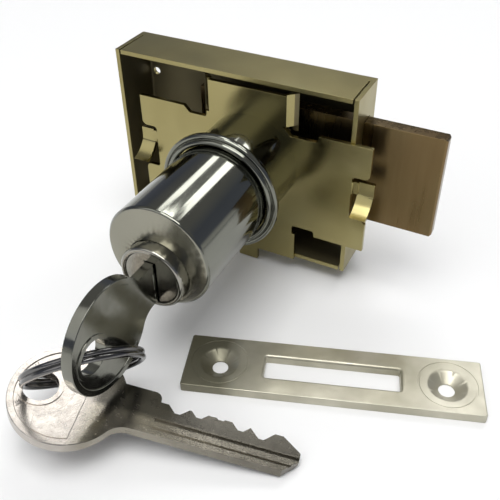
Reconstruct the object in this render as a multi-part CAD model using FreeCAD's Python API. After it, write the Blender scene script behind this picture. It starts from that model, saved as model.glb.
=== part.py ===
import FreeCAD, Part
import math
import os

# Cupboard rim lock with a round pin tumbler barrel, its keys and its strike plate.
# Millimetres. Origin: barrel axis on the front face of the cross plate, which is
# the face that lies against the inside of the door. +X is the way the bolt is
# thrown, +Y points into the case, +Z is up. The barrel stands out along -Y.

os.makedirs("parts", exist_ok=True)
V = FreeCAD.Vector

# Driving dimensions

# case, a tray pressed from sheet and open towards the door
case_length = 58.0
case_height = 44.0
case_depth = 12.5
sheet = 1.0
case_left = -34.5
bend_radius = 1.6
corner_slit = 0.35
slit_depth = 9.5
fixing_hole_r = 1.8
fixing_inset_x = 4.5
fixing_inset_z = 4.0
witness_hole_r = 0.9
witness_inset = 2.7

# barrel and the two screws that hold it to the cross plate
barrel_r = 11.0
barrel_length = 38.5
sleeve_wall = 0.6
sleeve_nose = 0.35
rim_bevel = 0.6
core_bevel = 0.4
screw_r = 1.25
screw_head_r = 2.2
screw_head = 1.0
screw_reach = 5.8
screw_tap = 6.0
screw_slot = 0.6
screw_slot_depth = 0.45
screw_bevel = 0.25
screw_inset = 2.5
screw_angle = 34.7
screw_fit = 0.1

# plug and the end of it that carries the crank
plug_drop = 3.0
plug_r = 6.0
plug_fit = 0.05
plug_head_r = 6.75
plug_head_out = 2.65
head_fit = 0.10
head_ring = 1.05
head_recess = 2.55
head_bevel = 0.35
head_step = 0.02
key_gap = 0.10
key_end_gap = 0.6
tail_r = 3.0
tail_half = 2.3
tail_end = 4.95
tail_bed = 0.4
plate_bore_fit = 0.2

# crank, its pin and the clip that holds it
throw = 17.4
crank_r = throw / 2.0
crank_y = 2.3
crank_thick = 1.8
hub_r = 4.6
crank_end_r = 2.7
pin_r = 1.5
pin_clearance = 0.3
pin_out = 0.6
pin_bevel = 0.3
clip_r = 3.9
clip_thick = 0.6
clip_gap = 0.05
clip_side = 0.03
clip_groove_r = 2.45
clip_mouth = 1.9

# bolt and the studs that guide it
bolt_height = 24.0
bolt_thick = 3.0
bolt_y = 5.7
bolt_tip = 41.0
bolt_tail = -15.5
bolt_gap = 0.2
edge_break = 0.4
stud_neck_r = 1.5
stud_head_r = 2.4
stud_head = 0.9
stud_shoulder_r = 2.6
stud_fit = 0.1
stud_inset = 3.5
stud_x = -11.0
stud_pitch = 7.0

# tumblers
pin_count = 5
pin_pitch = 4.0
first_pin = 3.6
tumbler_r = 1.4
tumbler_fit = 0.06
driver_length = 3.0
driver_bevel = 0.2
tip_land_r = 0.35
tip_height = 1.1
spring_r = 1.2
spring_wall = 0.35
cover_thick = 0.8
cover_half = 2.2
cover_before = 2.0
cover_after = 2.6
cover_sink = 0.16
shear_gap = 0.22
seat_gap = 0.02
driver_gap = 0.03

# cross plate
wing_left = -28.5
wing_right = 27.6
wing_top = 9.5
wing_bottom = -16.7
arm_left = -10.2
arm_right = 8.4
arm_top = 17.0
arm_flare = 2.0
fold_top = 0.35
fold_bottom = 0.6
low_arm_extra = 0.8
relief_drop = 1.5
relief_slant = 0.95
relief_gap_left = 0.7
relief_left = 4.4
relief_gap_right = 1.0
relief_right = 6.4
low_relief_inset = 0.8
low_relief_left = 5.4
low_relief_right = 5.5
relief_round = 0.7
relief_above = 0.5
relief_below = 0.8
notch_in_left = -24.75
notch_in_right = 23.8
notch_top = 2.0
notch_bottom = -8.7
notch_round = 0.8
wing_round = 1.2
lug_in = 25.0
lug_out = 28.6
lug_reach = 5.6
lug_back = 0.9
lug_drop = 1.4
lug_bend = -2.3
curl_in_drop = 1.75
curl_in_out = 2.3
curl_out_drop = 2.6
curl_out_out = 1.7
tip_in_drop = 3.4
tip_out_drop = 4.1
tip_thick = 0.75
neck_front = 0.45
neck_root = 0.1
neck_lap = 0.2
step_root = 0.6
step_lip = 0.3
foot_left = -3.4
foot_right = 1.5
foot_drop = 3.6
foot_round = 0.45

# collar ring, a loose pressed ring with a rolled lip
collar_fit = 0.1
collar_lip = 1.6
collar_flange = 2.4
collar_wall = 0.6
collar_back = -13.6
collar_depth = 2.0
collar_flange_thick = 0.7

# keys
bow_r = 10.75
bow_thick = 1.8
rim_width = 1.3
rim_raise = 0.2
rim_bevel_key = 0.12
bow_hole_r = 3.3
bow_hole_u = -5.2
boss_width = 0.9
stop_u = 16.6
tip_u = 43.8
blade_half = 3.5
blade_thick = 2.0
blade_drop = 1.9
blade_root = 3.0
shelf_rise = 2.0
shelf_round = 1.5
neck_fillet = 4.0
tip_bevel = 2.8
tip_flat = 1.6
tip_back = 3.6
bitting = [1.5, 1.1, 0.3, 1.35, 1.9]
cut_land = 0.5
groove_v = -0.7
groove_half = 0.6
groove_depth = 0.45
low_groove_v = -2.3
low_groove_half = 0.3
low_groove_depth = 0.3

# wire ring that holds the two keys together, two turns of round wire
wire_r = 0.55
turn_pitch = 1.0
ring_r = 10.8
ring_lean = 124.49
ring_heading = -45.5
ring_phase = 263.82
ring_seat_y = -0.43
ring_seat_z = -0.05

# strike plate and spare key, lying in front on the same level as the foot lug
strike_length = 60.2
strike_width = 13.8
strike_thick = 2.0
strike_x = 32.2
strike_y = -27.7
strike_yaw = 18.7
strike_corner = 0.5
strike_edge = 0.25
strike_hole_spacing = 46.1
strike_hole_r = 1.65
strike_sink_r = 4.3
strike_land = 0.25
strike_ring_r = 5.8
strike_ring_half = 0.18
strike_ring_depth = 0.12
strike_slot_length = 27.6
strike_slot_width = 5.5
strike_slot_corner = 0.5
strike_slot_edge = 0.6
spare_side = -12.07
spare_fore = -1.6
spare_hang = 13.32
spare_roll = 1.2
spare_yaw = 15.7
table_gap = 0.03

# Values that follow from them

case_right = case_left + case_length
case_front = sheet
case_back = case_front + case_depth
plug_z = -plug_drop
case_bottom = plug_z - case_height / 2.0
case_top = plug_z + case_height / 2.0
inner_back = case_back - sheet
ground = case_bottom - foot_drop
face_y = -barrel_length
core_front = face_y + sleeve_wall
core_r = barrel_r - sleeve_wall
plug_front = face_y - plug_head_out
stop_y = plug_front + head_recess
bolt_back = bolt_y + bolt_thick
key_y = stop_y - stop_u
key_z = plug_z - blade_drop
shear_z = plug_z + plug_r
key_top = key_z + blade_half
pin_ys = [stop_y + first_pin + pin_pitch * i for i in range(pin_count)]
cover_top = math.sqrt(core_r ** 2 - cover_half ** 2) - cover_sink
chamber_top = cover_top - cover_thick
spring_low = shear_z + plug_fit + driver_length
screw_ring_r = core_r - screw_inset
screw_x = screw_ring_r * math.cos(math.radians(screw_angle))
screw_z = screw_ring_r * math.sin(math.radians(screw_angle))
screw_spots = [(-screw_x, screw_z), (screw_x, screw_z)]
collar_seat_r = barrel_r + collar_fit
collar_lip_r = barrel_r + collar_lip
collar_flange_r = barrel_r + collar_flange
clip_y = crank_y + crank_thick + clip_gap
stud_z = -bolt_height / 2.0 + stud_inset
stud_spots = [(stud_x, stud_z), (stud_x + stud_pitch, stud_z)]
hole_in_lock = V(0, key_y + bow_hole_u, key_z)

# how far a cutting tool runs past the face that it cuts
over = 1.0
same = 1e-6


# Small helpers

def block(x0, x1, y0, y1, z0, z1):
    return Part.makeBox(x1 - x0, y1 - y0, z1 - z0, V(x0, y0, z0))


def rod_y(r, y0, y1, x=0.0, z=0.0):
    return Part.makeCylinder(r, y1 - y0, V(x, y0, z), V(0, 1, 0))


def rod_z(r, z0, z1, x=0.0, y=0.0):
    return Part.makeCylinder(r, z1 - z0, V(x, y, z0), V(0, 0, 1))


def loop(points):
    wire = Part.makePolygon(points + [points[0]])
    return Part.Face(wire)


def sheet_xz(points, y0, y1):
    face = loop([V(x, y0, z) for x, z in points])
    return face.extrude(V(0, y1 - y0, 0))


def turned(points):
    # profile of (radius, y) pairs turned about the Y axis
    face = loop([V(r, y, 0) for r, y in points])
    return face.revolve(V(0, 0, 0), V(0, 1, 0), 360)


def edges_where(shape, test):
    return [e for e in shape.Edges if test(e)]


def span(edge, axis):
    # how far an edge runs along one axis, by its two end points
    a = edge.Vertexes[0].Point
    b = edge.Vertexes[-1].Point
    return abs(getattr(a, axis) - getattr(b, axis))


def at(edge, axis, value):
    # true where every corner of an edge lies on one level
    return all(abs(getattr(v.Point, axis) - value) < same for v in edge.Vertexes)


def save(shape, node):
    solid = shape.removeSplitter()
    solid.exportStep("parts/" + node + ".step")
    box = solid.BoundBox
    print(node, "solids", len(solid.Solids), "valid", solid.isValid(),
          "volume %.1f" % solid.Volume,
          "x %.2f %.2f y %.2f %.2f z %.2f %.2f"
          % (box.XMin, box.XMax, box.YMin, box.YMax, box.ZMin, box.ZMax))
    return solid


# Case

def make_case():
    outer = block(case_left, case_right, case_front, case_back,
                  case_bottom, case_top)
    outer = outer.makeFillet(bend_radius, edges_where(
        outer, lambda e: at(e, "y", case_back)))
    inner = block(case_left + sheet, case_right - sheet, case_front - over,
                  inner_back, case_bottom + sheet, case_top - sheet)
    inner = inner.makeFillet(bend_radius - sheet, edges_where(
        inner, lambda e: at(e, "y", inner_back)))
    shell = outer.cut(inner)
    # the top and bottom flanges butt against the end flanges with an open slit
    for x in (case_left + sheet, case_right - sheet - corner_slit):
        for z in (case_bottom, case_top - sheet):
            shell = shell.cut(block(x, x + corner_slit, case_front - over,
                                    case_front + slit_depth,
                                    z - over / 2.0, z + sheet + over / 2.0))
    # slot for the bolt in the right end
    shell = shell.cut(block(case_right - 2.0 * sheet, case_right + over,
                            bolt_y - bolt_gap, bolt_back + bolt_gap,
                            -bolt_height / 2.0 - bolt_gap,
                            bolt_height / 2.0 + bolt_gap))
    # fixing holes in the corners of the back, seen through the cross openings
    for x in (case_left + fixing_inset_x, case_right - fixing_inset_x):
        for z in (case_bottom + fixing_inset_z, case_top - fixing_inset_z):
            shell = shell.cut(rod_y(fixing_hole_r, inner_back - over,
                                    case_back + over, x, z))
    shell = shell.cut(rod_y(witness_hole_r, inner_back - over, case_back + over,
                            case_left + witness_inset, wing_top))
    for x, z in stud_spots:
        shell = shell.cut(rod_y(stud_neck_r, inner_back - over,
                                case_back + over, x, z))
    return shell


# Cross plate

def lug_strip(x0, x1):
    # a tongue set back behind the plate whose lower half curls forward
    y_back = case_front + lug_back
    y_front = y_back - sheet
    top = notch_top - lug_drop
    mid = lug_bend
    tip_in = V(x0, y_back - lug_reach, mid - tip_in_drop)
    tip_out = V(x0, y_back - lug_reach + tip_thick, mid - tip_out_drop)
    out_mid = V(x0, y_back - curl_out_out, mid - curl_out_drop)
    in_mid = V(x0, y_back - curl_in_out, mid - curl_in_drop)
    curl_out = Part.Arc(V(x0, y_back, mid), out_mid, tip_out)
    curl_in = Part.Arc(tip_in, in_mid, V(x0, y_front, mid))
    wire = Part.Wire([
        Part.makeLine(V(x0, y_front, top), V(x0, y_back, top)),
        Part.makeLine(V(x0, y_back, top), V(x0, y_back, mid)),
        curl_out.toShape(),
        Part.makeLine(tip_out, tip_in),
        curl_in.toShape(),
        Part.makeLine(V(x0, y_front, mid), V(x0, y_front, top))])
    return Part.Face(wire).extrude(V(x1 - x0, 0, 0))


def plate_lug(inner, side):
    # one lug standing in its notch, with the short neck behind the plate
    x0 = inner + side * (lug_in - notch_in_right)
    x1 = inner + side * (lug_out - notch_in_right)
    lug = lug_strip(min(x0, x1), max(x0, x1))
    top = notch_top - lug_drop
    near = inner - side * neck_root
    far = x0 + side * neck_lap
    neck = block(min(near, far), max(near, far), neck_front,
                 case_front + lug_back, lug_bend, top)
    root = inner - side * step_root
    lip = inner + side * step_lip
    step = block(min(root, lip), max(root, lip), neck_root, sheet, lug_bend, top)
    return [lug, neck, step]


def arm_fold(side, x):
    # the side of the upper arm, folded back by 45 degrees
    low = wing_top - relief_drop + fold_bottom
    inside = sheet * math.tan(math.radians(22.5))
    lean = sheet * math.sqrt(0.5)
    fold = loop([V(x, 0, low), V(x + side * arm_flare, arm_flare, low),
                 V(x + side * (arm_flare - lean), arm_flare + lean, low),
                 V(x - side * inside, sheet, low)])
    return fold.extrude(V(0, 0, arm_top + fold_top - low))


def make_cross_plate():
    low_left = arm_left - arm_flare
    low_right = arm_right + arm_flare + low_arm_extra
    wing = block(wing_left, wing_right, 0, sheet, wing_bottom, wing_top)
    lower = block(low_left, low_right, 0, sheet, case_bottom, plug_z)
    upper = block(arm_left, arm_right, 0, sheet, plug_z, arm_top)
    plate = wing.fuse([lower, upper, arm_fold(1, arm_right), arm_fold(-1, arm_left)])
    # rounded relief cuts in the inner corners of the cross
    left = arm_left - relief_gap_left
    right = arm_right + relief_gap_right
    for x0, x1 in ((left - relief_left, left), (right, right + relief_right)):
        z = wing_top - relief_drop
        top = wing_top + relief_above
        lean = relief_slant * (top - z)
        cut = sheet_xz([(x0 - lean, top), (x0, z), (x1, z), (x1, top)],
                       -over, sheet + over)
        cut = cut.makeFillet(relief_round, edges_where(
            cut, lambda e: at(e, "z", z) and span(e, "x") < same))
        plate = plate.cut(cut)
    left = low_left + low_relief_inset
    right = low_right - low_relief_inset
    for x0, x1 in ((left - low_relief_left, left), (right, right + low_relief_right)):
        z = wing_bottom + relief_drop
        cut = block(x0, x1, -over, sheet + over, wing_bottom - relief_below, z)
        cut = cut.makeFillet(relief_round, edges_where(
            cut, lambda e: at(e, "z", z) and span(e, "x") < same))
        plate = plate.cut(cut)
    # notches in both wing ends, with the outer corners drawn to a round
    for x0, x1 in ((wing_left - over, notch_in_left),
                   (notch_in_right, wing_right + over)):
        cut = block(x0, x1, -over, sheet + over, notch_bottom, notch_top)
        cut = cut.makeFillet(notch_round, edges_where(
            cut, lambda e: span(e, "y") > sheet))
        plate = plate.cut(cut)
    corners = edges_where(plate, lambda e: span(e, "y") > 0.9 * sheet and (
        at(e, "x", wing_left) or at(e, "x", wing_right)) and (
        notch_bottom - same < e.Vertexes[0].Point.z < notch_top + same))
    plate = plate.makeFillet(wing_round, corners)
    plate = plate.fuse(plate_lug(notch_in_right, 1) + plate_lug(notch_in_left, -1))
    # foot lug of the lower arm, over the front of the bottom flange
    foot = block(foot_left, foot_right, 0, sheet, ground, case_bottom + sheet)
    foot = foot.makeFillet(foot_round, edges_where(
        foot, lambda e: at(e, "z", ground)))
    plate = plate.fuse(foot)
    plate = plate.cut(rod_y(plug_r + plate_bore_fit, -over, sheet + over, 0, plug_z))
    for x, z in screw_spots:
        plate = plate.cut(rod_y(screw_r + screw_fit, -over, sheet + over, x, z))
    return plate


# Barrel

def make_sleeve():
    tube = turned([(core_r, 0), (barrel_r, 0), (barrel_r, face_y + rim_bevel),
                   (barrel_r - rim_bevel, face_y), (0.0, face_y),
                   (0.0, core_front), (core_r - sleeve_nose, core_front),
                   (core_r, core_front + sleeve_nose)])
    return tube.cut(rod_y(plug_head_r + head_fit, face_y - over,
                          core_front + over, 0, plug_z))


def make_core():
    core = rod_y(core_r, core_front, 0)
    core = core.makeChamfer(core_bevel, edges_where(
        core, lambda e: at(e, "y", core_front)))
    core = core.cut(rod_y(plug_r + plug_fit, core_front - over, over, 0, plug_z))
    for y in pin_ys:
        core = core.cut(rod_z(tumbler_r + tumbler_fit, plug_z, chamber_top + over,
                              0, y))
    core = core.cut(block(-cover_half, cover_half, pin_ys[0] - cover_before,
                          pin_ys[-1] + cover_after, chamber_top, barrel_r))
    for x, z in screw_spots:
        core = core.cut(rod_y(screw_r, -screw_tap, over, x, z))
    return core


def make_cover():
    return block(-cover_half, cover_half, pin_ys[0] - cover_before,
                 pin_ys[-1] + cover_after, chamber_top, cover_top)


def make_screws():
    both = []
    for x, z in screw_spots:
        top = sheet + screw_head
        shank = rod_y(screw_r, -screw_reach, sheet, x, z)
        head = rod_y(screw_head_r, sheet, top, x, z)
        head = head.makeChamfer(screw_bevel, [
            e for e in edges_where(head, lambda e: at(e, "y", top))
            if len(e.Vertexes) == 1])
        slot = block(x - screw_head_r - over, x + screw_head_r + over,
                     top - screw_slot_depth, top + over,
                     z - screw_slot / 2.0, z + screw_slot / 2.0)
        both.append(shank.fuse(head).cut(slot))
    return Part.makeCompound(both)


def make_collar():
    back = collar_back
    mid = collar_back - collar_flange_thick
    lip = collar_back - collar_depth
    inner = collar_lip_r - collar_wall
    bead = collar_wall / 3.0
    profile = [(collar_seat_r, back), (collar_flange_r - bead, back),
               (collar_flange_r, back - bead), (collar_flange_r, mid + bead),
               (collar_flange_r - bead, mid), (collar_lip_r + bead, mid - bead),
               (collar_lip_r, mid - 2.0 * bead), (collar_lip_r, lip + bead),
               (collar_lip_r - bead, lip), (inner + bead, lip),
               (inner, lip + bead), (inner, mid), (collar_seat_r, mid + bead)]
    return turned(profile)


# Plug and tumblers

def make_plug():
    r = plug_head_r
    back = core_front - head_step
    head = turned([(0, stop_y), (r - head_ring, stop_y),
                   (r - head_ring, plug_front + head_bevel),
                   (r - head_ring + head_bevel / 2.0, plug_front),
                   (r - head_bevel, plug_front), (r, plug_front + head_bevel),
                   (r, back), (0, back)])
    head.translate(V(0, 0, plug_z))
    body = rod_y(plug_r, back, crank_y - tail_bed, 0, plug_z)
    flats = block(-tail_r, tail_r, crank_y, tail_end, plug_z - tail_half,
                  plug_z + tail_half)
    tail = rod_y(tail_r, crank_y - tail_bed, tail_end, 0, plug_z).common(flats)
    tail = tail.fuse(rod_y(tail_r, crank_y - tail_bed, crank_y, 0, plug_z))
    groove = rod_y(tail_r + over, clip_y - clip_side, clip_y + clip_thick + clip_side,
                   0, plug_z)
    groove = groove.cut(rod_y(clip_groove_r, clip_y - over,
                              clip_y + clip_thick + over, 0, plug_z))
    plug = head.fuse([body, tail.cut(groove)])
    # keyway, open to the front and a little longer than the key
    half = blade_thick / 2.0 + key_gap
    plug = plug.cut(block(-half, half, plug_front - over, key_y + tip_u + key_end_gap,
                          key_z - blade_half - key_gap, key_top + key_gap))
    for y in pin_ys:
        plug = plug.cut(rod_z(tumbler_r + tumbler_fit, key_z, shear_z + over, 0, y))
    return plug


def make_key_pins():
    pins = []
    for y, depth in zip(pin_ys, bitting):
        foot = key_top - depth + seat_gap
        cone = Part.makeCone(tip_land_r, tumbler_r, tip_height, V(0, y, foot))
        body = rod_z(tumbler_r, foot + tip_height, shear_z - shear_gap, 0, y)
        pins.append(cone.fuse(body))
    return Part.makeCompound(pins)


def make_drivers():
    pins = []
    for y in pin_ys:
        pin = rod_z(tumbler_r, shear_z + plug_fit + driver_gap, spring_low, 0, y)
        pins.append(pin.makeChamfer(driver_bevel, [
            e for e in pin.Edges if len(e.Vertexes) == 1]))
    return Part.makeCompound(pins)


def make_springs():
    springs = []
    for y in pin_ys:
        low = spring_low + seat_gap
        high = chamber_top - seat_gap
        tube = rod_z(spring_r, low, high, 0, y)
        springs.append(tube.cut(rod_z(spring_r - spring_wall, low - over,
                                      high + over, 0, y)))
    return Part.makeCompound(springs)


def make_crank():
    y0 = crank_y
    y1 = crank_y + crank_thick
    hub = rod_y(hub_r, y0, y1, 0, plug_z)
    end = rod_y(crank_end_r, y0, y1, crank_r, plug_z)
    # common tangents of the hub and the end round
    a = math.acos((hub_r - crank_end_r) / crank_r)
    ca, sa = math.cos(a), math.sin(a)
    web = sheet_xz([(hub_r * ca, plug_z + hub_r * sa),
                    (crank_r + crank_end_r * ca, plug_z + crank_end_r * sa),
                    (crank_r + crank_end_r * ca, plug_z - crank_end_r * sa),
                    (hub_r * ca, plug_z - hub_r * sa)], y0, y1)
    arm = hub.fuse([end, web])
    bore = rod_y(tail_r, y0 - over, y1 + over, 0, plug_z)
    flats = block(-tail_r, tail_r, y0 - over, y1 + over, plug_z - tail_half,
                  plug_z + tail_half)
    arm = arm.cut(bore.common(flats))
    return arm.cut(rod_y(pin_r, y0 - over, y1 + over, crank_r, plug_z))


def make_crank_pin():
    pin = rod_y(pin_r, crank_y, bolt_back + pin_out, crank_r, plug_z)
    return pin.makeChamfer(pin_bevel, [
        e for e in edges_where(pin, lambda e: at(e, "y", bolt_back + pin_out))
        if len(e.Vertexes) == 1])


def make_clip():
    ring = rod_y(clip_r, clip_y, clip_y + clip_thick, 0, plug_z)
    ring = ring.cut(rod_y(clip_groove_r, clip_y - over, clip_y + clip_thick + over,
                          0, plug_z))
    gap = block(-clip_mouth, clip_mouth, clip_y - over, clip_y + clip_thick + over,
                plug_z - clip_r - over, plug_z)
    return ring.cut(gap)


# Bolt and studs

def crank_slot():
    # room for the crank pin as seen from the bolt, with the bolt moving in
    # even steps with the key: x = r cos a - r + 2 r a / pi, z = r sin a
    steps = 24
    reach = pin_r + pin_clearance
    side = []
    for i in range(steps // 2 + 1):
        a = math.pi * i / steps
        x = crank_r * (math.cos(a) - 1.0 + 2.0 * a / math.pi)
        z = crank_r * math.sin(a)
        dx = crank_r * (2.0 / math.pi - math.sin(a))
        dz = crank_r * math.cos(a)
        size = math.hypot(dx, dz)
        side.append((x + reach * dz / size, z - reach * dx / size))
    wide = [(x, z) for x, z in side if x > reach * 0.8]
    right = [V(crank_r + x, 0, plug_z + z) for x, z in wide]
    left = [V(crank_r - x, 0, plug_z + z) for x, z in reversed(wide)]
    low = V(crank_r, 0, plug_z - reach)
    high = V(crank_r, 0, plug_z + crank_r + reach)
    curve = Part.BSplineCurve()
    curve.interpolate(Points=[low] + right + [high] + left, PeriodicFlag=True)
    return Part.Face(Part.Wire([curve.toShape()]))


def make_bolt():
    body = block(bolt_tail, bolt_tip, bolt_y, bolt_back,
                 -bolt_height / 2.0, bolt_height / 2.0)
    body = body.makeChamfer(edge_break, edges_where(
        body, lambda e: at(e, "x", bolt_tip)))
    face = crank_slot()
    face.translate(V(0, bolt_y - over, 0))
    body = body.cut(face.extrude(V(0, bolt_thick + 2.0 * over, 0)))
    x0 = stud_x
    x1 = stud_x + stud_pitch + throw
    w = stud_neck_r + stud_fit
    slot = block(x0, x1, bolt_y - over, bolt_back + over, stud_z - w, stud_z + w)
    slot = slot.fuse([rod_y(w, bolt_y - over, bolt_back + over, x0, stud_z),
                      rod_y(w, bolt_y - over, bolt_back + over, x1, stud_z)])
    return body.cut(slot)


def make_studs():
    studs = []
    for x, z in stud_spots:
        head_back = bolt_y - stud_fit
        head_front = head_back - stud_head
        neck = rod_y(stud_neck_r, head_back - stud_head / 2.0, case_back, x, z)
        shoulder = rod_y(stud_shoulder_r, bolt_back + stud_fit, inner_back, x, z)
        head = rod_y(stud_head_r, head_front, head_back, x, z)
        head = head.makeChamfer(pin_bevel, [
            e for e in edges_where(head, lambda e: at(e, "y", head_front))
            if len(e.Vertexes) == 1])
        studs.append(neck.fuse([shoulder, head]))
    return Part.makeCompound(studs)


# Keys

def key_shape():
    # u runs along X towards the tip, v along Z with the cuts upward,
    # thickness along Y, bow centre at the origin
    h = bow_thick / 2.0
    rim_h = h + rim_raise
    shelf = blade_half + shelf_rise
    disc = rod_y(bow_r, -h, h)
    neck = block(0, stop_u, -h, h, -blade_half, shelf)
    neck = neck.makeFillet(shelf_round, edges_where(
        neck, lambda e: at(e, "x", stop_u) and at(e, "z", shelf)))
    body = disc.fuse(neck).removeSplitter()
    # the round runs into the lower edge of the neck in a hollow curve
    body = body.makeFillet(neck_fillet, edges_where(
        body, lambda e: span(e, "y") > bow_thick / 2.0
        and e.Vertexes[0].Point.x > bow_r / 2.0
        and abs(e.Vertexes[0].Point.z + blade_half) < same
        and e.Vertexes[0].Point.x < stop_u - over))
    rim = rod_y(bow_r, -rim_h, rim_h).cut(
        rod_y(bow_r - rim_width, -rim_h - over, rim_h + over))
    # the raised rim stops short where the neck begins
    rim = rim.cut(block(bow_r * 0.6, bow_r + over, -2.0 * rim_h, 2.0 * rim_h,
                        -bow_r, bow_r))
    rim = rim.makeChamfer(rim_bevel_key, edges_where(rim, lambda e: abs(
        e.Vertexes[0].Point.y) > rim_h - same and e.Length > 2.0 * bow_r))
    boss = rod_y(bow_hole_r + boss_width, -rim_h, rim_h, bow_hole_u, 0)
    body = body.fuse([rim, boss])
    body = body.cut(rod_y(bow_hole_r, -rim_h - over, rim_h + over, bow_hole_u, 0))
    hb = blade_thick / 2.0
    root = stop_u - blade_root
    blade = sheet_xz([(root, -blade_half), (tip_u - tip_bevel, -blade_half),
                      (tip_u, -blade_half + tip_bevel),
                      (tip_u, -blade_half + tip_bevel + tip_flat),
                      (tip_u - tip_back, blade_half), (root, blade_half)], -hb, hb)
    for i, depth in enumerate(bitting):
        u = stop_u + first_pin + pin_pitch * i
        low = blade_half - depth
        rise = depth + cut_land
        top = low + rise
        cut = sheet_xz([(u - cut_land, low), (u + cut_land, low),
                        (u + cut_land + rise, top), (u - cut_land - rise, top)],
                       -hb - over, hb + over)
        blade = blade.cut(cut)
    # two milled grooves along each flat
    for v, half, deep in ((groove_v, groove_half, groove_depth),
                          (low_groove_v, low_groove_half, low_groove_depth)):
        for y0, y1 in ((hb - deep, hb + over), (-hb - over, deep - hb)):
            blade = blade.cut(block(root, tip_u + over, y0, y1, v - half, v + half))
    return body.fuse(blade)


def place_key_in_lock(shape):
    # u to +Y, v to +Z, thickness to X
    done = shape.copy()
    done.rotate(V(0, 0, 0), V(0, 0, 1), 90)
    done.translate(V(0, key_y, key_z))
    return done


def spare_tilt(lift):
    # the lower corner of the tip lies on the table, the bow hangs on the ring
    roll = math.radians(spare_roll)
    along = tip_u - bow_hole_u
    below = (blade_half - tip_bevel) * math.sin(roll)
    below = below + blade_thick / 2.0 * math.cos(roll)
    reach = math.hypot(along, below)
    tilt = math.asin((lift - table_gap) / reach) - math.atan2(below, along)
    return math.degrees(tilt)


def place_spare(shape):
    hole = hole_in_lock + V(spare_side, spare_fore, -spare_hang)
    done = shape.copy()
    done.translate(V(-bow_hole_u, 0, 0))
    # laid flat with the cuts to the back, rolled on its long axis, tipped, turned
    done.rotate(V(0, 0, 0), V(1, 0, 0), spare_roll - 90.0)
    done.rotate(V(0, 0, 0), V(0, 1, 0), spare_tilt(hole.z - ground))
    done.rotate(V(0, 0, 0), V(0, 0, 1), spare_yaw)
    done.translate(hole)
    return done


def make_ring():
    # the ring hangs in the bow hole of the key in the lock
    lean = math.radians(ring_lean)
    heading = math.radians(ring_heading)
    phase = math.radians(ring_phase)
    axis = V(math.sin(lean) * math.cos(heading), math.sin(lean) * math.sin(heading),
             math.cos(lean))
    side = axis.cross(V(0, 0, 1)).normalize()
    spoke = side * math.cos(phase) + axis.cross(side) * math.sin(phase)
    seat = hole_in_lock + V(0, ring_seat_y, ring_seat_z)
    centre = seat - spoke * ring_r
    print("ring seat", seat, "centre", centre, "axis", axis)
    turns = []
    for step in (-0.5, 0.5):
        middle = centre + axis * (step * turn_pitch)
        turns.append(Part.makeTorus(ring_r, wire_r, middle, axis))
    return turns[0].fuse(turns[1])


# Strike plate

def make_strike():
    x = strike_length / 2.0
    y = strike_width / 2.0
    t = strike_thick
    plate = block(-x, x, -y, y, 0, t)
    plate = plate.makeFillet(strike_corner, edges_where(
        plate, lambda e: span(e, "z") > t / 2.0))
    plate = plate.makeFillet(strike_edge, edges_where(
        plate, lambda e: at(e, "z", t)))
    sx = strike_slot_length / 2.0
    sy = strike_slot_width / 2.0
    slot = block(-sx, sx, -sy, sy, -over, t + over)
    slot = slot.makeFillet(strike_slot_corner, edges_where(
        slot, lambda e: span(e, "z") > t))
    plate = plate.cut(slot)
    # the slot is pressed through from the top, which draws its upper edge down
    plate = plate.makeFillet(strike_slot_edge, edges_where(
        plate, lambda e: at(e, "z", t) and all(
            abs(v.Point.x) < sx + same and abs(v.Point.y) < sy + same
            for v in e.Vertexes)))
    for side in (-1, 1):
        hx = side * strike_hole_spacing / 2.0
        sink = Part.makeCone(strike_hole_r, strike_sink_r, t - strike_land,
                             V(hx, 0, strike_land))
        sink = sink.fuse(rod_z(strike_sink_r, t, t + over, hx, 0))
        line = rod_z(strike_ring_r + strike_ring_half, t - strike_ring_depth,
                     t + over, hx, 0)
        line = line.cut(rod_z(strike_ring_r - strike_ring_half, 0, t + 2.0 * over,
                              hx, 0))
        plate = plate.cut(rod_z(strike_hole_r, -over, t + over, hx, 0))
        plate = plate.cut(sink).cut(line)
    plate.rotate(V(0, 0, 0), V(0, 0, 1), strike_yaw)
    plate.translate(V(strike_x, strike_y, ground))
    return plate


# Build

key = key_shape()
save(make_case(), "case")
save(make_cross_plate(), "cross_plate")
save(make_sleeve(), "barrel_sleeve")
save(make_core(), "barrel_core")
save(make_cover(), "chamber_cover")
save(make_screws(), "barrel_screws")
save(make_collar(), "collar")
save(make_plug(), "plug")
save(make_key_pins(), "key_pins")
save(make_drivers(), "driver_pins")
save(make_springs(), "pin_springs")
save(make_crank(), "crank")
save(make_crank_pin(), "crank_pin")
save(make_clip(), "plug_clip")
save(make_bolt(), "bolt")
save(make_studs(), "guide_studs")
save(place_key_in_lock(key), "key_in_lock")
save(place_spare(key), "spare_key")
save(make_ring(), "key_ring")
save(make_strike(), "strike_plate")
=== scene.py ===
import math

import bpy
import bmesh
from mathutils import Matrix, Vector


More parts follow.
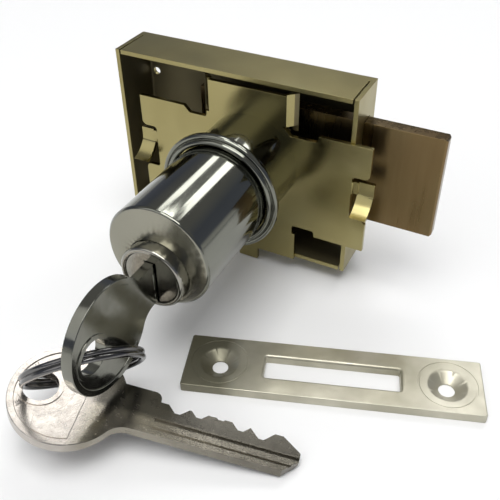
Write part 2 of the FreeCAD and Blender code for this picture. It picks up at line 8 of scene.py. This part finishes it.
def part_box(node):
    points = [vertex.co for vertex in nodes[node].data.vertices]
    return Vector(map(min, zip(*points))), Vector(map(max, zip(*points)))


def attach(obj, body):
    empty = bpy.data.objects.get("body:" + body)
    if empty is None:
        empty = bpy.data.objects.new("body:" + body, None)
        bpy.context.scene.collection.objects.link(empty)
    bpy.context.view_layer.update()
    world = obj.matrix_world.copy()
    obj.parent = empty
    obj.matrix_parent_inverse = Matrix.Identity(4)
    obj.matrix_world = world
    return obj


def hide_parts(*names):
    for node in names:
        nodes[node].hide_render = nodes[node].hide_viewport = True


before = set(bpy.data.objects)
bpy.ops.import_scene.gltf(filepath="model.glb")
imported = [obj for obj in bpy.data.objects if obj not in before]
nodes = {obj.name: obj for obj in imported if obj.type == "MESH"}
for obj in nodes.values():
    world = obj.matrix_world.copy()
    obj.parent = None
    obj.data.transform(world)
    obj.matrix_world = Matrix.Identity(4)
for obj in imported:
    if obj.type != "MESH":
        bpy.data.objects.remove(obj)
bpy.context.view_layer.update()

MM = 0.001
scene = bpy.context.scene

# ground level: the strike plate and the foot lug of the cross plate stand on it
STRIKE_LOW, STRIKE_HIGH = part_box("strike_plate")
GROUND = STRIKE_LOW.z
BARREL_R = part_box("barrel_sleeve")[1].x
BARREL_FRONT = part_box("barrel_sleeve")[0].y
CASE_LOW, CASE_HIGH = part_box("case")

# camera, worked out from the straight edges of the case, the plates and the barrel
CAMERA_PLACE = Vector((60.88, -118.94, 82.50)) * MM
CAMERA_AZIMUTH = math.radians(27.01)
CAMERA_ELEVATION = math.radians(38.55)
CAMERA_ROLL = math.radians(-0.50)
CAMERA_LENS = 50.27
CAMERA_SHIFT = (-0.0051, -0.0143)

# the strike plate: which way it runs, in plan, and where its left end lies
STRIKE_TURN = math.radians(18.7)
STRIKE_WAY = Vector((math.cos(STRIKE_TURN), math.sin(STRIKE_TURN), 0.0))
STRIKE_HALF = 30.1
STRIKE_END = 0.5 * (STRIKE_LOW + STRIKE_HIGH) - STRIKE_WAY * STRIKE_HALF * MM

# the spare key, in millimetres along its blade (u), across it (v) and through it (w)
SPARE_HOLE = Vector((-12.07, -62.0, -18.22)) * MM
SPARE_ROLL, SPARE_YAW = math.radians(1.2), math.radians(15.7)
BOW_R = 10.75
BOW_HOLE_U = -5.2
BOW_HALF_THICK = 0.9
BLADE_HALF_WIDE, BLADE_HALF_THICK = 3.5, 1.0
TIP_U, TIP_BEVEL = 43.8, 2.8
TIP_LIFT = 0.03

# edges sharper than this are softened, and faces flatter than this are joined
SHARP_EDGE = math.radians(35)
FLAT_FACE = math.radians(0.4)


def spare_frame():
    """The spare key's place: it hangs by its hole and its tip reaches the table."""
    along = TIP_U - BOW_HOLE_U
    below = ((BLADE_HALF_WIDE - TIP_BEVEL) * math.sin(SPARE_ROLL)
             + BLADE_HALF_THICK * math.cos(SPARE_ROLL))
    lift = (SPARE_HOLE.z - GROUND) / MM - TIP_LIFT
    tilt = math.asin(lift / math.hypot(along, below)) - math.atan2(below, along)
    turn = Matrix.Rotation(SPARE_YAW, 4, "Z") @ Matrix.Rotation(tilt, 4, "Y")
    turn = turn @ Matrix.Rotation(SPARE_ROLL - math.pi / 2.0, 4, "X")
    return Matrix.Translation(SPARE_HOLE) @ turn


# camera and view

def make_camera():
    """The photo's view: near the lock, from above and from its front right."""
    level = math.cos(CAMERA_ELEVATION)
    back = Vector((math.sin(CAMERA_AZIMUTH) * level, -math.cos(CAMERA_AZIMUTH) * level,
                   math.sin(CAMERA_ELEVATION)))
    right = (-back).cross(Vector((0, 0, 1))).normalized()
    up = right.cross(-back)
    cosine, sine = math.cos(CAMERA_ROLL), math.sin(CAMERA_ROLL)
    across = right * cosine + up * sine
    upward = up * cosine - right * sine
    turn = Matrix((across, upward, back)).transposed()
    data = bpy.data.cameras.new("camera")
    data.lens = CAMERA_LENS
    data.shift_x, data.shift_y = CAMERA_SHIFT
    data.clip_start, data.clip_end = 0.01, 20.0
    camera = bpy.data.objects.new("camera", data)
    camera.matrix_world = Matrix.Translation(CAMERA_PLACE) @ turn.to_4x4()
    scene.collection.objects.link(camera)
    scene.camera = camera
    scene.view_settings.view_transform = "Standard"


# node helpers

class Shader:
    """A small wrapper that keeps the building of a node material readable."""

    def __init__(self, name):
        self.material = bpy.data.materials.new(name)
        self.material.use_nodes = True
        self.tree = self.material.node_tree
        self.tree.nodes.clear()
        self.output = self.tree.nodes.new("ShaderNodeOutputMaterial")
        self.surface = self.tree.nodes.new("ShaderNodeBsdfPrincipled")
        self.link(self.surface.outputs[0], self.output.inputs["Surface"])
        self.coordinates = self.tree.nodes.new("ShaderNodeTexCoord").outputs["Object"]

    def link(self, source, target):
        self.tree.links.new(source, target)

    def set(self, socket, value):
        target = self.surface.inputs[socket]
        if hasattr(value, "node"):
            self.link(value, target)
        else:
            target.default_value = value

    def feed(self, node, socket, value):
        if hasattr(value, "node"):
            self.link(value, node.inputs[socket])
        else:
            node.inputs[socket].default_value = value

    def math(self, operation, a, b):
        node = self.tree.nodes.new("ShaderNodeMath")
        node.operation = operation
        self.feed(node, 0, a)
        self.feed(node, 1, b)
        return node.outputs[0]

    def stretch(self, scale):
        node = self.tree.nodes.new("ShaderNodeMapping")
        node.inputs["Scale"].default_value = scale
        self.link(self.coordinates, node.inputs["Vector"])
        return node.outputs[0]

    def noise(self, scale, detail, roughness, vector=None):
        node = self.tree.nodes.new("ShaderNodeTexNoise")
        node.inputs["Scale"].default_value = scale
        node.inputs["Detail"].default_value = detail
        node.inputs["Roughness"].default_value = roughness
        self.link(self.coordinates if vector is None else vector, node.inputs["Vector"])
        return node.outputs["Fac"]

    def ramp(self, value, stops):
        node = self.tree.nodes.new("ShaderNodeValToRGB")
        elements = node.color_ramp.elements
        while len(elements) < len(stops):
            elements.new(0.5)
        for element, (place, shade) in zip(elements, stops):
            element.position = place
            element.color = (*shade, 1.0)
        self.link(value, node.inputs["Fac"])
        return node.outputs["Color"]

    def range(self, value, low, high, to_low=0.0, to_high=1.0):
        node = self.tree.nodes.new("ShaderNodeMapRange")
        self.link(value, node.inputs["Value"])
        node.inputs["From Min"].default_value = low
        node.inputs["From Max"].default_value = high
        node.inputs["To Min"].default_value = to_low
        node.inputs["To Max"].default_value = to_high
        return node.outputs["Result"]

    def mix(self, factor, a, b):
        node = self.tree.nodes.new("ShaderNodeMix")
        node.data_type = "RGBA"
        self.feed(node, 0, factor)
        for socket, value in ((6, a), (7, b)):
            if hasattr(value, "node"):
                self.link(value, node.inputs[socket])
            else:
                node.inputs[socket].default_value = (*value, 1.0)
        return node.outputs[2]

    def along(self, axis):
        node = self.tree.nodes.new("ShaderNodeSeparateXYZ")
        self.link(self.coordinates, node.inputs[0])
        return node.outputs[axis]

    def along_line(self, start, direction):
        """How far a point lies from start in a direction of length one."""
        parts = [self.math("MULTIPLY", self.along(i), direction[i]) for i in range(3)]
        total = self.math("ADD", self.math("ADD", parts[0], parts[1]), parts[2])
        return self.math("SUBTRACT", total, start.dot(direction))

    def between(self, axis, low, high, soft):
        """One between two levels of an axis and zero outside, over a soft step."""
        rise = self.range(self.along(axis), low - soft, low + soft)
        fall = self.range(self.along(axis), high + soft, high - soft)
        return self.math("MULTIPLY", rise, fall)

    def bump(self, height, distance, strength, onto=None):
        node = self.tree.nodes.new("ShaderNodeBump")
        node.inputs["Distance"].default_value = distance
        node.inputs["Strength"].default_value = strength
        self.link(height, node.inputs["Height"])
        if onto is not None:
            self.link(onto, node.inputs["Normal"])
        return node.outputs[0]

    def finish(self, colour, metallic, roughness, normal):
        self.set("Base Color", colour)
        self.set("Metallic", metallic)
        self.set("Roughness", roughness)
        self.set("Normal", normal)
        return self.material


def linear(r, g, b):
    """A colour given in the 0 to 255 values of a picture, as linear light."""
    def one(level):
        level = level / 255.0
        return level / 12.92 if level <= 0.04045 else ((level + 0.055) / 1.055) ** 2.4
    return (one(r), one(g), one(b))


# materials

def plated_sheet(name, low, high):
    """Brass plated sheet, whose roughness runs from low to high."""
    metal = Shader(name)
    wide = metal.noise(34.0, 3.0, 0.55)
    body = metal.ramp(wide, [(0.30, linear(146, 136, 92)), (0.52, linear(158, 148, 103)),
                             (0.72, linear(168, 160, 116))])
    stain = metal.noise(150.0, 5.0, 0.6)
    body = metal.mix(metal.range(stain, 0.55, 0.80, 0.0, 0.22), body, linear(122, 112, 72))
    # the inner walls of the tray get a darker colour as painted shade for the shadowed cavity;
    # they are also less metallic and rougher
    wall, mouth = 0.95 * MM, CASE_LOW.y + 0.25 * MM
    across = metal.between(0, CASE_LOW.x + wall, CASE_HIGH.x - wall, 0.02 * MM)
    upright = metal.between(2, CASE_LOW.z + wall, CASE_HIGH.z - wall, 0.02 * MM)
    deep = metal.between(1, mouth, CASE_HIGH.y - wall, 0.05 * MM)
    inner = metal.math("MULTIPLY", metal.math("MULTIPLY", across, upright), deep)
    # the darker colour painted on the inner walls as shade
    darker_tone = metal.mix(metal.range(wide, 0.3, 0.7), linear(104, 97, 71), linear(124, 115, 85))
    body = metal.mix(inner, body, darker_tone)
    metallic = metal.range(inner, 0.0, 1.0, 1.0, 0.7)
    rough = metal.range(metal.noise(160.0, 2.0, 0.5), 0.25, 0.75, low, high)
    rough = metal.math("ADD", rough, metal.math("MULTIPLY", inner, 0.16))
    rolled = metal.noise(900.0, 3.0, 0.5, metal.stretch((0.15, 1.0, 1.0)))
    dents = metal.noise(110.0, 2.0, 0.5)
    relief = metal.bump(rolled, 0.03 * MM, 0.22, metal.bump(dents, 0.1 * MM, 0.07))
    return metal.finish(body, metallic, rough, relief)


def chrome():
    """Polished chrome, with a satin face on the barrel's front end."""
    metal = Shader("chrome")
    cloud = metal.noise(60.0, 3.0, 0.5)
    polished = metal.ramp(cloud, [(0.3, linear(116, 117, 109)), (0.7, linear(126, 127, 118))])
    satin = metal.ramp(cloud, [(0.3, linear(142, 140, 127)), (0.7, linear(154, 152, 138))])
    end_face = metal.range(metal.along(1), BARREL_FRONT + 0.25 * MM, BARREL_FRONT + 0.05 * MM)
    tone = metal.mix(end_face, polished, satin)
    scratch = metal.noise(2600.0, 3.0, 0.6, metal.stretch((1.0, 0.06, 1.0)))
    polish = metal.range(scratch, 0.35, 0.75, 0.06, 0.14)
    rough = metal.math("ADD", polish, metal.math("MULTIPLY", end_face, 0.13))
    wave = metal.noise(120.0, 2.0, 0.5)
    grain = metal.noise(1500.0, 2.0, 0.6)
    relief = metal.bump(grain, 0.01 * MM, 0.10, metal.bump(wave, 0.05 * MM, 0.10))
    return metal.finish(tone, 1.0, rough, relief)


def nickel(name, light, dark, low, high, scale=90.0, darker_end=None, metallic=1.0):
    """Worn nickel: clouds between two tones, specks and, where asked, a darker tone towards one
    end.
    """
    metal = Shader(name)
    cloud = metal.noise(scale, 4.0, 0.6)
    tone = metal.ramp(cloud, [(0.30, dark), (0.70, light)])
    speck = metal.noise(scale * 14.0, 4.0, 0.7)
    spots = tuple(part * 0.65 for part in dark)
    tone = metal.mix(metal.range(speck, 0.62, 0.85, 0.0, 0.28), tone, spots)
    # where asked, the tone turns darker towards one end, over a ragged edge
    if darker_end:
        start, way, reach, darker_tone = darker_end
        ragged = metal.math("MULTIPLY", cloud, 4.0 * MM)
        u = metal.math("ADD", metal.along_line(start, way), ragged)
        tone = metal.mix(metal.range(u, reach + 3.5 * MM, reach), tone, darker_tone)
    rough = metal.range(metal.noise(scale * 5.0, 4.0, 0.6), 0.3, 0.7, low, high)
    relief = metal.bump(metal.noise(scale * 9.0, 3.0, 0.6), 0.04 * MM, 0.18)
    return metal.finish(tone, metallic, rough, relief)


def spare_nickel():
    """Bright on the bow and darker along the blade, most of all on its cut half and towards the
    tip.
    """
    metal = Shader("spare_nickel")
    turn = spare_frame().to_3x3()
    u = metal.along_line(SPARE_HOLE, (turn @ Vector((1, 0, 0))).normalized())
    v = metal.along_line(SPARE_HOLE, (turn @ Vector((0, 0, 1))).normalized())
    cloud = metal.noise(220.0, 4.0, 0.6)
    bow = metal.ramp(cloud, [(0.30, linear(176, 169, 161)), (0.70, linear(196, 190, 182))])
    cut_half = metal.ramp(cloud, [(0.30, linear(80, 78, 72)), (0.70, linear(100, 97, 90))])
    back_half = metal.ramp(cloud, [(0.30, linear(142, 137, 124)), (0.70, linear(166, 160, 147))])
    blade = metal.mix(metal.range(v, 0.4 * MM, -0.8 * MM), cut_half, back_half)
    blade = metal.mix(metal.range(u, 20.0 * MM, 40.0 * MM, 0.0, 0.65), blade, linear(88, 85, 77))
    tone = metal.mix(metal.range(u, 8.2 * MM, 11.2 * MM), bow, blade)
    speck = metal.noise(2400.0, 4.0, 0.7)
    tone = metal.mix(metal.range(speck, 0.60, 0.80, 0.0, 0.3), tone, linear(90, 86, 80))
    rough = metal.range(metal.noise(700.0, 4.0, 0.6), 0.3, 0.7, 0.18, 0.30)
    relief = metal.bump(metal.noise(1600.0, 3.0, 0.6), 0.04 * MM, 0.22)
    return metal.finish(tone, 1.0, rough, relief)


def bronze_bolt():
    """Drawn bronze, with fine lines along the height of the bolt."""
    metal = Shader("bronze_bolt")
    drawn = metal.noise(300.0, 4.0, 0.6, metal.stretch((1.0, 1.0, 0.08)))
    wide = metal.noise(45.0, 2.0, 0.5)
    tone = metal.ramp(drawn, [(0.3, linear(104, 90, 62)), (0.7, linear(128, 113, 82))])
    tone = metal.mix(metal.range(wide, 0.35, 0.65, 0.0, 0.5), tone, linear(124, 100, 66))
    rough = metal.range(drawn, 0.3, 0.7, 0.22, 0.34)
    lines = metal.noise(1400.0, 3.0, 0.6, metal.stretch((1.0, 1.0, 0.05)))
    return metal.finish(tone, 1.0, rough, metal.bump(lines, 0.03 * MM, 0.2))


def plain_metal(name, light, dark, rough):
    """A turned or cast metal for the small and hidden pieces."""
    metal = Shader(name)
    tone = metal.ramp(metal.noise(200.0, 4.0, 0.6), [(0.3, dark), (0.7, light)])
    worn = metal.range(metal.noise(900.0, 3.0, 0.6), 0.3, 0.7, rough - 0.06, rough + 0.06)
    relief = metal.bump(metal.noise(2000.0, 3.0, 0.6), 0.03 * MM, 0.2)
    return metal.finish(tone, 1.0, worn, relief)


# dressing of the CAD nodes

def soften(piece, bevel):
    """Rounds the sharp edges of a piece."""
    soft = piece.modifiers.new("soft_edges", "BEVEL")
    soft.width = bevel
    soft.segments = 2
    soft.limit_method = "ANGLE"
    soft.angle_limit = SHARP_EDGE
    soft.use_clamp_overlap = True


def smooth_faces(piece):
    """Shades curved faces smoothly and leaves large flat faces flat."""
    smooth = piece.modifiers.new("face_normals", "WEIGHTED_NORMAL")
    smooth.keep_sharp = True


def dress(node, material, bevel=0.0):
    """Gives a CAD node its material and, where asked, soft edges."""
    piece = nodes[node]
    piece.data.materials.clear()
    piece.data.materials.append(material)
    for face in piece.data.polygons:
        face.use_smooth = True
        face.material_index = 0
    weld = piece.modifiers.new("weld", "WELD")
    weld.merge_threshold = 0.002 * MM
    if bevel:
        flat = piece.modifiers.new("flat_faces", "DECIMATE")
        flat.decimate_type = "DISSOLVE"
        flat.angle_limit = FLAT_FACE
        soften(piece, bevel)
    smooth_faces(piece)


def make_metals():
    """All materials of the pieces; low, high and rough are roughnesses."""
    darker_end = (STRIKE_END, STRIKE_WAY, 10.0 * MM, linear(124, 121, 103))
    return {
        "case": plated_sheet("plated_case", low=0.29, high=0.35),
        "plate": plated_sheet("plated_cross", low=0.17, high=0.26),
        "chrome": chrome(),
        "plug": nickel("plug_nickel", linear(160, 158, 149), linear(134, 132, 123),
                       low=0.10, high=0.20),
        # the key in the lock is a darker copy of the keys' nickel: painted shade for the dark
        # surroundings its faces mirror
        "key": nickel("key_nickel", linear(132, 132, 123), linear(114, 114, 106),
                      low=0.10, high=0.20),
        "spare": spare_nickel(),
        "strike": nickel("strike_nickel", linear(208, 204, 188), linear(156, 152, 131),
                         low=0.28, high=0.48, scale=45.0, darker_end=darker_end,
                         metallic=0.65),
        "wire": plain_metal("ring_wire", linear(120, 119, 118), linear(96, 95, 94),
                            rough=0.14),
        "steel": plain_metal("turned_steel", linear(170, 170, 168), linear(130, 130, 128),
                             rough=0.30),
        "brass": plain_metal("turned_brass", linear(205, 176, 108), linear(170, 142, 82),
                             rough=0.28),
        "zinc": plain_metal("cast_zinc", linear(150, 150, 150), linear(118, 118, 118),
                            rough=0.50),
        "bolt": bronze_bolt(),
    }


# which metal each CAD node has, and how wide its soft edges are in millimetres
FINISHES = [
    ("case", "case", 0.22),
    ("cross_plate", "plate", 0.15),
    ("barrel_sleeve", "chrome", 0.0),
    ("barrel_core", "zinc", 0.0),
    ("chamber_cover", "brass", 0.0),
    ("barrel_screws", "steel", 0.0),
    ("plug", "plug", 0.0),
    ("key_pins", "brass", 0.0),
    ("driver_pins", "brass", 0.0),
    ("pin_springs", "steel", 0.0),
    ("crank", "steel", 0.0),
    ("crank_pin", "steel", 0.0),
    ("plug_clip", "steel", 0.0),
    ("bolt", "bolt", 0.12),
    ("guide_studs", "steel", 0.0),
    ("key_in_lock", "key", 0.15),
    ("spare_key", "spare", 0.15),
    ("key_ring", "wire", 0.0),
    ("strike_plate", "strike", 0.10),
]


def dress_all(metals):
    for node, metal, bevel in FINISHES:
        dress(node, metals[metal], bevel * MM)


# pieces made here

def new_piece(name, bm, material, body, bevel=0.0):
    """A piece from a bmesh, on a body."""
    bmesh.ops.recalc_face_normals(bm, faces=bm.faces)
    mesh = bpy.data.meshes.new(name)
    bm.to_mesh(mesh)
    bm.free()
    mesh.materials.append(material)
    for face in mesh.polygons:
        face.use_smooth = True
    piece = bpy.data.objects.new(name, mesh)
    scene.collection.objects.link(piece)
    if bevel:
        soften(piece, bevel * MM)
    smooth_faces(piece)
    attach(piece, body)
    return piece


def plate_of(bm, outline, low, high, place):
    """A flat plate: an outline in two coordinates between two levels of the third."""
    bottom = [bm.verts.new(place(a, b, low)) for a, b in outline]
    top = [bm.verts.new(place(a, b, high)) for a, b in outline]
    bm.faces.new(list(reversed(bottom)))
    bm.faces.new(top)
    count = len(outline)
    for i in range(count):
        j = (i + 1) % count
        bm.faces.new((bottom[i], bottom[j], top[j], top[i]))


def turned_ring(bm, profile, segments=144):
    """A closed profile of (radius, y) pairs turned about the Y axis."""
    rows = []
    for radius, y in profile:
        row = []
        for i in range(segments):
            angle = 2.0 * math.pi * i / segments
            row.append(bm.verts.new((radius * MM * math.sin(angle), y * MM,
                                     radius * MM * math.cos(angle))))
        rows.append(row)
    for here, beside in zip(rows, rows[1:] + rows[:1]):
        for i in range(segments):
            j = (i + 1) % segments
            bm.faces.new((here[i], here[j], beside[j], beside[i]))


def bead(middle, half, top, low, steps=7):
    """The rounded top of a bead, as (radius, y) points from the inside out."""
    points = []
    for i in range(steps + 1):
        angle = math.pi * (1.0 - i / steps)
        points.append((middle + half * math.cos(angle), low + (top - low) * math.sin(angle)))
    return points


def make_collar(metals):
    """Two rolled beads with a fine groove between them, close round the barrel."""
    low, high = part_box("collar")
    front, back, outer = low.y / MM, high.y / MM, high.x / MM
    gap, groove_shift, bevel_wide, bevel_deep = 0.12, 0.05, 0.2, 0.3
    inner_foot, outer_top, outer_foot = 0.75, 0.45, 1.0
    inner = BARREL_R / MM + gap
    groove = 0.5 * (inner + outer) + groove_shift
    profile = bead(0.5 * (inner + groove), 0.5 * (groove - inner), front, front + inner_foot)
    profile += bead(0.5 * (groove + outer), 0.5 * (outer - groove),
                    front + outer_top, front + outer_foot)[1:]
    profile += [(outer, back - bevel_deep), (outer - bevel_wide, back), (inner, back)]
    bm = bmesh.new()
    turned_ring(bm, profile)
    collar = new_piece("rolled_collar", bm, metals["chrome"], "collar")
    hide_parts("collar")


def make_plug_face(metals):
    """The face of the plug on both sides of the key, just below its raised edge."""
    low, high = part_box("plug")
    front, depth = low.y + 0.3 * MM, 2.1 * MM
    # the outline, in millimetres about the plug's axis
    axis_z = 0.5 * (low.z + high.z) / MM
    radius, slot_half, slot_top = 5.66, 1.2, 3.75
    start = math.asin(slot_half / radius)
    steps = 72
    outline = [(slot_half, -math.cos(start) * radius)]
    for i in range(1, steps):
        angle = start + (2.0 * math.pi - 2.0 * start) * i / steps
        outline.append((radius * math.sin(angle), -radius * math.cos(angle)))
    outline += [(-slot_half, -math.cos(start) * radius), (-slot_half, slot_top),
                (slot_half, slot_top)]
    bm = bmesh.new()
    plate_of(bm, outline, front, front + depth,
             lambda a, b, c: (a * MM, c, (b + axis_z) * MM))
    new_piece("plug_face", bm, metals["plug"], "plug_and_crank", 0.1)


# the pressed relief of the spare key's bow, in millimetres and degrees: how far it
# reaches, from which level to which, the field's edges, and the two fans of ribs
RELIEF_RIM = BOW_R - 1.45
RELIEF_ROOT, FIELD_TOP, RIB_TOP = BOW_HALF_THICK - 0.05, 1.08, 1.03
FIELD_NEAR, FIELD_HALF_TURN, FIELD_HALF_U = 6.3, 78.0, 3.4
RIB_FANS = ((118.0, 178.0), (186.0, 246.0))
RIB_COUNT, RIB_NEAR, RIB_HALF_WIDE, RIB_LEAST, RIB_GAP = 11, 4.5, 0.13, 0.6, 0.15


def arc(radius, start, end, steps, middle=0.0):
    """Points of an arc about a middle on the u axis, from one angle to another."""
    points = []
    for i in range(steps + 1):
        angle = start + (end - start) * i / steps
        points.append((middle + radius * math.cos(angle), radius * math.sin(angle)))
    return points


def field_outline():
    """The flat field by the neck, between an arc about the hole and the rim."""
    reach = math.sqrt(RELIEF_RIM ** 2 - FIELD_HALF_U ** 2)
    near_end = math.atan2(-reach, -FIELD_HALF_U)
    far_end = math.atan2(-reach, FIELD_HALF_U)
    half_turn = math.radians(FIELD_HALF_TURN)
    outline = arc(FIELD_NEAR, half_turn, -half_turn, 24, BOW_HOLE_U)
    outline += arc(RELIEF_RIM, near_end, far_end, 12)
    outline += arc(RELIEF_RIM, -far_end, -near_end, 12)
    return outline


def rib_outline(angle):
    """A fine rib from the hole's boss to the rim, or None where it would be too short."""
    cosine, sine = math.cos(angle), math.sin(angle)
    # how far a line from the hole runs before it meets the rim
    shift = BOW_HOLE_U * cosine
    reach = RELIEF_RIM - RIB_GAP
    far = -shift + math.sqrt(shift * shift - BOW_HOLE_U ** 2 + reach ** 2)
    if far - RIB_NEAR < RIB_LEAST:
        return None
    half = RIB_HALF_WIDE
    return [(BOW_HOLE_U + out * cosine - aside * sine, out * sine + aside * cosine)
            for out, aside in ((RIB_NEAR, -half), (far, -half), (far, half), (RIB_NEAR, half))]


def make_spare_relief(metals):
    """Pressed relief on both sides of the bow: a field by the neck and fine ribs."""
    turn = spare_frame()

    def place(side):
        return lambda u, v, w: turn @ Vector(((u - BOW_HOLE_U) * MM, side * w * MM, v * MM))

    bm = bmesh.new()
    for side in (-1, 1):
        plate_of(bm, field_outline(), RELIEF_ROOT, FIELD_TOP, place(side))
    new_piece("bow_field", bm, metals["spare"], "second_key", 0.07)
    bm = bmesh.new()
    for side in (-1, 1):
        for start, end in RIB_FANS:
            for i in range(RIB_COUNT):
                degrees = start + (end - start) * i / (RIB_COUNT - 1.0)
                outline = rib_outline(math.radians(degrees))
                if outline:
                    plate_of(bm, outline, RELIEF_ROOT, RIB_TOP, place(side))
    new_piece("bow_ribs", bm, metals["spare"], "second_key", 0.03)


# floor, surroundings and lamps

FLOOR_HALF = 3.0
FLOOR_GAP = 0.04 * MM


def make_floor():
    """A plain pale floor, a hair under the pieces that lie on it."""
    mesh = bpy.data.meshes.new("floor")
    z = GROUND - FLOOR_GAP
    corners = [(-FLOOR_HALF, -FLOOR_HALF, z), (FLOOR_HALF, -FLOOR_HALF, z),
               (FLOOR_HALF, FLOOR_HALF, z), (-FLOOR_HALF, FLOOR_HALF, z)]
    mesh.from_pydata(corners, [], [(0, 1, 2, 3)])
    floor = bpy.data.objects.new("floor", mesh)
    scene.collection.objects.link(floor)
    material = bpy.data.materials.new("floor")
    material.use_nodes = True
    surface = material.node_tree.nodes["Principled BSDF"]
    surface.inputs["Base Color"].default_value = (0.90, 0.90, 0.895, 1.0)
    surface.inputs["Roughness"].default_value = 0.7
    surface.inputs["Specular IOR Level"].default_value = 0.2
    mesh.materials.append(material)


# how light the surroundings are, by the height of the direction from 0 to 1
SKY = [
    (0.0, (0.70, 0.70, 0.69)),
    (0.07, (0.58, 0.58, 0.58)),
    (0.13, (0.18, 0.195, 0.25)),
    (0.40, (0.16, 0.175, 0.225)),
    (0.60, (0.26, 0.26, 0.26)),
    (1.0, (0.24, 0.24, 0.24)),
]


def make_world():
    """Pale near the horizon, darker and bluish above it, grey overhead."""
    world = bpy.data.worlds.new("studio")
    scene.world = world
    world.use_nodes = True
    tree = world.node_tree
    tree.nodes.clear()
    output = tree.nodes.new("ShaderNodeOutputWorld")
    background = tree.nodes.new("ShaderNodeBackground")
    direction = tree.nodes.new("ShaderNodeTexCoord")
    split = tree.nodes.new("ShaderNodeSeparateXYZ")
    sky = tree.nodes.new("ShaderNodeValToRGB")
    while len(sky.color_ramp.elements) < len(SKY):
        sky.color_ramp.elements.new(0.5)
    for element, (place, shade) in zip(sky.color_ramp.elements, SKY):
        element.position = place
        element.color = (*shade, 1.0)
    tree.links.new(direction.outputs["Generated"], split.inputs[0])
    tree.links.new(split.outputs[2], sky.inputs["Fac"])
    tree.links.new(sky.outputs["Color"], background.inputs["Color"])
    tree.links.new(background.outputs[0], output.inputs["Surface"])


def area_light(name, place, target, width, height, power):
    data = bpy.data.lights.new(name, "AREA")
    data.shape = "RECTANGLE"
    data.size, data.size_y = width, height
    data.energy = power
    lamp = bpy.data.objects.new(name, data)
    lamp.location = place
    if target is not None:
        aim = Vector(target) - Vector(place)
        lamp.rotation_euler = aim.to_track_quat("-Z", "Y").to_euler()
    scene.collection.objects.link(lamp)


# name, place, what it points at (None is straight down), width, height, power;
# two ceiling lamps and the pale ceiling round them, which the barrel mirrors, soft
# panels that the flat pieces on the table mirror, and wide lamps above and in front
LAMPS = [
    ("lamp_left", (-0.42, 1.05, 1.0), None, 0.26, 0.36, 1.4),
    ("lamp_right", (0.20, 1.05, 1.0), None, 0.30, 0.40, 2.1),
    ("ceiling_glow", (-0.15, 1.05, 1.06), None, 1.0, 0.5, 0.40),
    ("panel_near", (-0.33, 0.51, 1.0), None, 0.28, 0.25, 0.75),
    ("panel_wide", (-0.18, 0.755, 1.0), None, 0.54, 0.09, 1.5),
    ("top_light", (0.15, -0.30, 1.25), None, 0.9, 0.9, 12.5),
    ("front_light", (-0.45, -0.8, 0.9), (0.0, -0.02, -0.01), 1.2, 1.2, 4.2),
]


make_camera()
metals = make_metals()
dress_all(metals)
make_collar(metals)
make_plug_face(metals)
make_spare_relief(metals)
make_floor()
make_world()
for lamp in LAMPS:
    area_light(*lamp)
